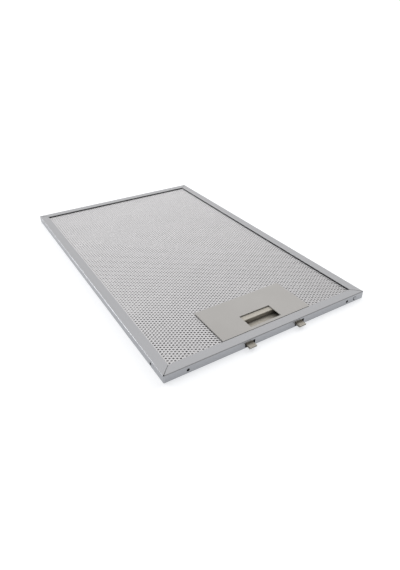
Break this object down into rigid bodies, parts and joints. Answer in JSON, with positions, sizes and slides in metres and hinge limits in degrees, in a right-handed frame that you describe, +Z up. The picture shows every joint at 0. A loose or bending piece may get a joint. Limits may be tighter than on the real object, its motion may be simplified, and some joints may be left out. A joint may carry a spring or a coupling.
{
  "type": "cooker hood grease filter",
  "caption": "Flat cooker hood grease filter: folded aluminium channel frame round expanded mesh, with a moulded finger plate and a sprung latch whose tabs lock into the hood.",
  "frame": {"origin": "middle of the footprint, latch tabs included, on the underside of the frame", "axes": "+Z up towards the face with the finger plate, -Y towards the latch end, +X to the right seen from the latch end"},
  "size_m": [0.25, 0.402, 0.009],
  "materials": {
    "frame_aluminium": "satin mill finish, faint rolling lines",
    "mesh_aluminium": "bright expanded strands",
    "foil_aluminium": "bright thin foil",
    "plate_plastic": "fine matt moulded grain",
    "latch_plastic": "smooth matt moulding",
    "spring_steel": "plain stainless strip"
  },
  "bodies": {
    "filter": {"frame": "frame_aluminium", "cover_mesh": "mesh_aluminium", "back_mesh": "mesh_aluminium", "foil_1": "foil_aluminium", "foil_2": "foil_aluminium", "foil_3": "foil_aluminium", "foil_4": "foil_aluminium", "foil_5": "foil_aluminium", "foil_6": "foil_aluminium", "handle_plate": "plate_plastic", "latch_tray": "latch_plastic", "bow_spring": "spring_steel"},
    "latch": {"latch_slider": "latch_plastic"}
  },
  "joints": [
    {"name": "latch_slide", "type": "slide", "parent": "filter", "child": "latch", "axis": [0, 1, 0], "range_m": [0, 0.006], "stiffness_N_per_m": 250, "springref_m": -0.012, "deforming": ["bow_spring"]}
  ]
}
